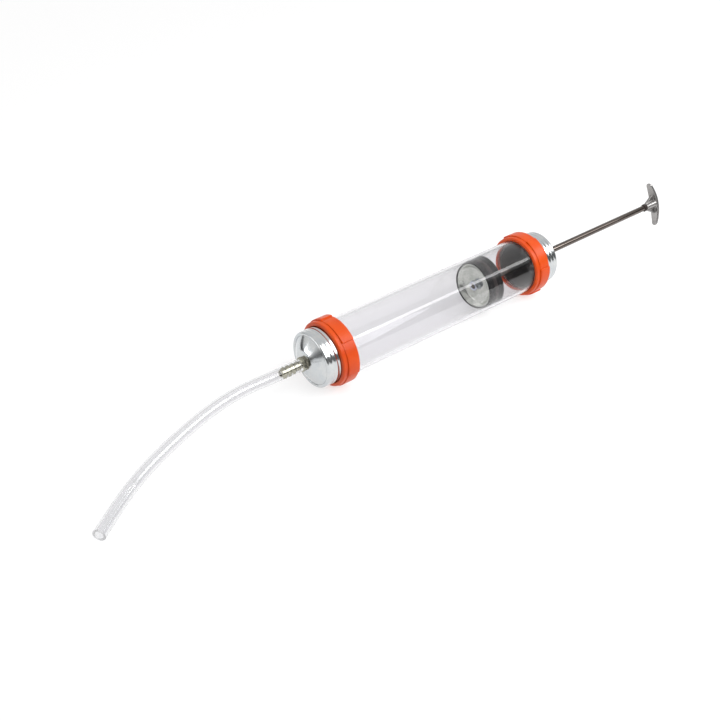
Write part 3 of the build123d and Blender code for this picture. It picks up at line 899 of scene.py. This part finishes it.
# Rod bush: turned bronze with a flange outside the rear cap and a groove inside for the O-ring.
# Its shank goes through the cap, and a nut clamps it from inside.
bush_low, bush_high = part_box("rod_bush")
bush_radius = 7.5 * mm
bush_bore = 3.58 * mm
bush_flange = 2.0 * mm
seal_low, seal_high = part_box("rod_seal")
seal_gap = 0.08 * mm
groove_radius = (seal_high.z - seal_low.z) / 2 + seal_gap
flange_radius = (bush_high.z - bush_low.z) / 2
bronze = Finish("turned_bronze")
bronze_marks = bronze.noise(1.0, bronze.lathe(2800.0, 0.5), 3.0)
patina = bronze.noise(140.0, None, 5.0)
bush = turned("bronze_bush", rounded([
    (bush_low.x, bush_bore, 0.3 * mm, 0), (bush_low.x, bush_radius, 0.5 * mm, 0),
    (bush_high.x - bush_flange, bush_radius, 0, 0),
    (bush_high.x - bush_flange, flange_radius, 0.2 * mm, 0),
    (bush_high.x, flange_radius, 0.5 * mm, 0), (bush_high.x, bush_bore, 0.4 * mm, 0),
    (seal_high.x + seal_gap, bush_bore, 0, 0), (seal_high.x + seal_gap, groove_radius, 0, 0),
    (seal_low.x - seal_gap, groove_radius, 0, 0), (seal_low.x - seal_gap, bush_bore, 0, 0),
]), bronze.surface({
    "Base Color": bronze.mix(patina, (0.40, 0.27, 0.12, 1), (0.58, 0.43, 0.21, 1)),
    "Metallic": 1.0,
    "Roughness": patina * 0.2 + bronze_marks * 0.1 + 0.15,
    "Normal": bronze.bump(bronze_marks, 0.1, 0.0002),
}))
finished(bush, "rear_head", "bronze", "rod_bush")


# Piston: two rubber cups back to back on a black core, between two dished, plated discs, all
# clamped on the rod's front stud. The cups' thin lips rub on the barrel's bore.
disc_zinc = zinc_plate("disc_zinc", (0.50, 0.52, 0.475, 1), (0.66, 0.675, 0.62, 1))
cup_rubber = nitrile("cup_rubber", 2400.0)
cup_radius = 26.72 * mm
core_radius = 26.22 * mm
cup_lip = 2.5 * mm
cup_lip_wall = 1.8 * mm
cup_web = 1.8 * mm
dish_depth = 4.6 * mm
disc_sheet = 1.0 * mm
disc_radius = 24.3 * mm
disc_floor = 19.5 * mm
lip_gap = 0.1 * mm


def dished_disc(name, node, direction):
    """Pressed disc: flat floor, conical side and flat rim, with the press tool's rounds."""
    low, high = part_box(node)
    rim = low.x if direction > 0 else high.x
    floor = rim - direction * lip_gap + direction * dish_depth
    under = floor + direction * disc_sheet
    piece = turned(name, rounded([
        (floor, stud_bore, 0.1 * mm, 0), (floor, disc_floor, 6.0 * mm, 0),
        (rim, disc_radius - disc_sheet, 0.7 * mm, 0), (rim, disc_radius, 0.15 * mm, 0),
        (rim + direction * disc_sheet, disc_radius, 0.15 * mm, 0),
        (under, disc_floor + disc_sheet, 1.2 * mm, 0), (under, stud_bore, 0.1 * mm, 0),
    ], 6), disc_zinc, 160, 30)
    return finished(piece, "plunger", "zinc_steel", node)


def rubber_cup(name, node, direction):
    """Moulded cup: a web clamped on the core and a lip that rubs on the barrel's bore."""
    low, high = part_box(node)
    lip = low.x if direction > 0 else high.x
    web = lip + direction * (dish_depth + disc_sheet)
    lip_end = lip + direction * cup_lip
    back = web + direction * cup_web
    relief = cup_radius - core_radius
    piece = turned(name, rounded([
        (web, stud_bore, 0, 0), (web, disc_floor + 2 * disc_sheet, 0.6 * mm, 0),
        (lip_end, cup_radius - cup_lip_wall, 0.4 * mm, 0),
        (lip, cup_radius - cup_lip_wall, 0.4 * mm, 0),
        (lip, cup_radius, 0.15 * mm, 0), (lip_end, cup_radius, 0.4 * mm, 0),
        (lip_end + direction * relief, core_radius, 0.3 * mm, 0),
        (back, core_radius, 0.1 * mm, 0), (back, stud_bore, 0, 0),
    ]), cup_rubber, 160)
    return finished(piece, "plunger", "black_rubber", node)


dished_disc("front_dished_disc", "front_disc", 1)
dished_disc("rear_dished_disc", "rear_disc", -1)
rubber_cup("front_rubber_cup", "front_cup", 1)
rubber_cup("rear_rubber_cup", "rear_cup", -1)

core_low, core_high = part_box("piston_core")
core_plastic = Finish("core_plastic")
turning = core_plastic.noise(1.0, core_plastic.lathe(1500.0, 0.7), 3.0)
core = turned("black_piston_core", band(
    core_low.x, core_high.x, stud_bore, core_radius, 0.25 * mm), core_plastic.surface({
        "Base Color": core_plastic.mix(turning, (0.028, 0.022, 0.021, 1), (0.050, 0.041, 0.039, 1)),
        "Roughness": turning * 0.15 + 0.22,
        "Specular IOR Level": 0.15,
        "Normal": core_plastic.bump(turning, 0.1, 0.0002),
    }), 160)
finished(core, "plunger", "black_plastic", "piston_core")
refinish(steel_zinc, "spring_washer")


# Rod: 7 mm drawn bar, dark and oily from the mill, with a threaded stud turned at each end. The
# front stud, of 6 mm, carries the piston, and the rear one, of 5 mm, the handle.
rod_low, rod_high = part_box("rod")
rod_radius = (rod_high.z - rod_low.z) / 2
stud_root = 2.6 * mm
handle_stud_root = 2.1 * mm
stud_thread = 0.4 * mm
stud_pitch = 1.0 * mm
rod_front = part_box("rear_nut")[1].x
rod_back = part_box("lock_nut")[0].x
drawn_steel = Finish("drawn_steel")
draw_lines = drawn_steel.noise(1.0, drawn_steel.placed((9, 2200, 2200)), 3.0, 0.6)
oil = drawn_steel.noise(1.0, drawn_steel.placed((40, 160, 160)), 4.0)
drawn_material = drawn_steel.surface({
    "Base Color": drawn_steel.mix(oil, (0.10, 0.083, 0.074, 1), (0.17, 0.145, 0.13, 1)),
    "Metallic": 1.0,
    "Roughness": draw_lines * 0.08 + oil * 0.08 + 0.06,
    "Normal": drawn_steel.bump(draw_lines, 0.02, 0.0001),
})


def stud(start, end, root):
    """Outline stations of a threaded stud, from its start to its end."""
    return [(x, root, thread_share(x, start, end)) for x in stations(start, end, 0.125 * mm)]


rod = turned("threaded_rod", [(rod_low.x, 0, 0)] + stud(rod_low.x, rod_front, stud_root) + rounded([
    (rod_front, stud_root, 0, 0), (rod_front, rod_radius, 0.3 * mm, 0),
    (rod_back, rod_radius, 0.3 * mm, 0), (rod_back, handle_stud_root, 0, 0)])
    + stud(rod_back, rod_high.x, handle_stud_root) + [(rod_high.x, 0, 0)], drawn_material, 64)
rolled_thread.applied(rod, {"Pitch": stud_pitch, "Depth": stud_thread, "Start": rod_low.x})
finished(rod, "plunger", "bright_steel", "rod")


# T-handle: one die-cast aluminium piece with a bowed bar, a tapered neck and two gussets,
# tapped for the rod's rear stud. Its edges and corners are soft, as they leave the die.
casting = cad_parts["handle"].data.copy()
work = bmesh.new()
work.from_mesh(casting)
bmesh.ops.remove_doubles(work, verts=work.verts, dist=0.001 * mm)
work.to_mesh(casting)
work.free()
handle = bpy.data.objects.new("cast_handle", casting)
bpy.context.scene.collection.objects.link(handle)
skin = handle.modifiers.new("skin", "REMESH")
skin.mode = "VOXEL"
skin.voxel_size = 0.4 * mm
softening = handle.modifiers.new("softening", "SMOOTH")
softening.factor = 0.5
softening.iterations = 3
baked(handle, 180)
alloy = Finish("cast_alloy")
sand = alloy.noise(1500.0, None, 4.0, 0.6)
dents = alloy.noise(180.0, None, 3.0)
tumbled = alloy.smooth(alloy.noise(60.0, None, 2.0), 0.35, 0.7)
handle.data.materials.clear()
handle.data.materials.append(alloy.surface({
    "Base Color": alloy.mix(tumbled, (0.28, 0.27, 0.265, 1), (0.37, 0.36, 0.355, 1)),
    "Metallic": 1.0,
    "Roughness": sand * 0.12 + tumbled * -0.05 + 0.24,
    "Normal": alloy.bump(sand + dents * 2.0, 0.35, 0.00025),
}))
handle.data.shade_smooth()
finished(handle, "plunger", "cast_alloy", "handle")
